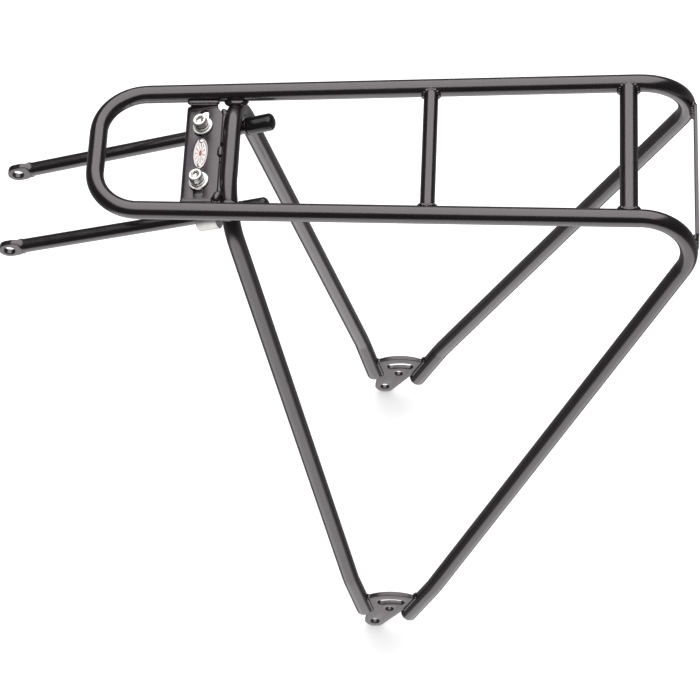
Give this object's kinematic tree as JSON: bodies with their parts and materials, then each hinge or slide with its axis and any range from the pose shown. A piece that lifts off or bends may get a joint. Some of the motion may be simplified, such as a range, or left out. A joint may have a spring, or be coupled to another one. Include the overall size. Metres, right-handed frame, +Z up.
{
  "type": "rear bicycle carrier",
  "caption": "Black tubular rear rack for a bicycle: narrow looped platform, splayed legs, slotted front bracket, sliding stays and a light strap.",
  "frame": {"origin": "midway between the two frame-bolt holes of the foot plates", "axes": "+X towards the rear of the bicycle, +Y to the rider's right, +Z up"},
  "size_m": [0.389, 0.183, 0.379],
  "materials": {
    "tube_coat": "satin black powder coat, fine orange peel",
    "bracket_coat": "satin black powder coat, fine orange peel",
    "foot_coat": "satin black powder coat, fine orange peel",
    "stay_coat": "satin black powder coat, fine orange peel",
    "bolt_steel": "bright stainless steel",
    "washer_steel": "bright stainless steel",
    "clamp_alloy": "smooth bright alloy, lightly machined",
    "cap_plastic": "glossy black moulded plastic",
    "badge_plate": null,
    "rivet_steel": "small bright rivets"
  },
  "bodies": {
    "rack": {"main_tube": "tube_coat", "front_hoop": "tube_coat", "middle_rung": "tube_coat", "rear_rung": "tube_coat", "front_bracket": "bracket_coat", "light_bracket": "bracket_coat", "badge": "badge_plate", "left_badge_rivet": "rivet_steel", "right_badge_rivet": "rivet_steel", "left_foot_plate": "foot_coat", "right_foot_plate": "foot_coat"},
    "left_bolt_set": {"left_clamp_bolt": "bolt_steel", "left_flat_washer": "washer_steel", "left_lock_washer": "washer_steel"},
    "left_clamp": {"left_clamp_block": "clamp_alloy"},
    "left_arm": {"left_stay": "stay_coat", "left_stay_cap": "cap_plastic"},
    "right_bolt_set": {"right_clamp_bolt": "bolt_steel", "right_flat_washer": "washer_steel", "right_lock_washer": "washer_steel"},
    "right_clamp": {"right_clamp_block": "clamp_alloy"},
    "right_arm": {"right_stay": "stay_coat", "right_stay_cap": "cap_plastic"}
  },
  "joints": [
    {"name": "left_slot_shift", "type": "slide", "parent": "rack", "child": "left_bolt_set", "axis": [0, 1, 0], "range_m": [0, 0.0024]},
    {"name": "left_stay_swing", "type": "hinge", "parent": "left_bolt_set", "child": "left_clamp", "pos_m": [-0.07912, -0.01875, 0.36477], "axis": [-0.225, 0, 0.9744], "range_deg": [0, 8]},
    {"name": "left_stay_slide", "type": "slide", "parent": "left_clamp", "child": "left_arm", "axis": [0.9599, -0.0155, 0.2799], "range_m": [0, 0.08]},
    {"name": "right_slot_shift", "type": "slide", "parent": "rack", "child": "right_bolt_set", "axis": [0, -1, 0], "range_m": [0, 0.0024]},
    {"name": "right_stay_swing", "type": "hinge", "parent": "right_bolt_set", "child": "right_clamp", "pos_m": [-0.07912, 0.01875, 0.36477], "axis": [0.225, 0, -0.9744], "range_deg": [0, 8]},
    {"name": "right_stay_slide", "type": "slide", "parent": "right_clamp", "child": "right_arm", "axis": [0.9599, 0.0155, 0.2799], "range_m": [0, 0.08]}
  ]
}
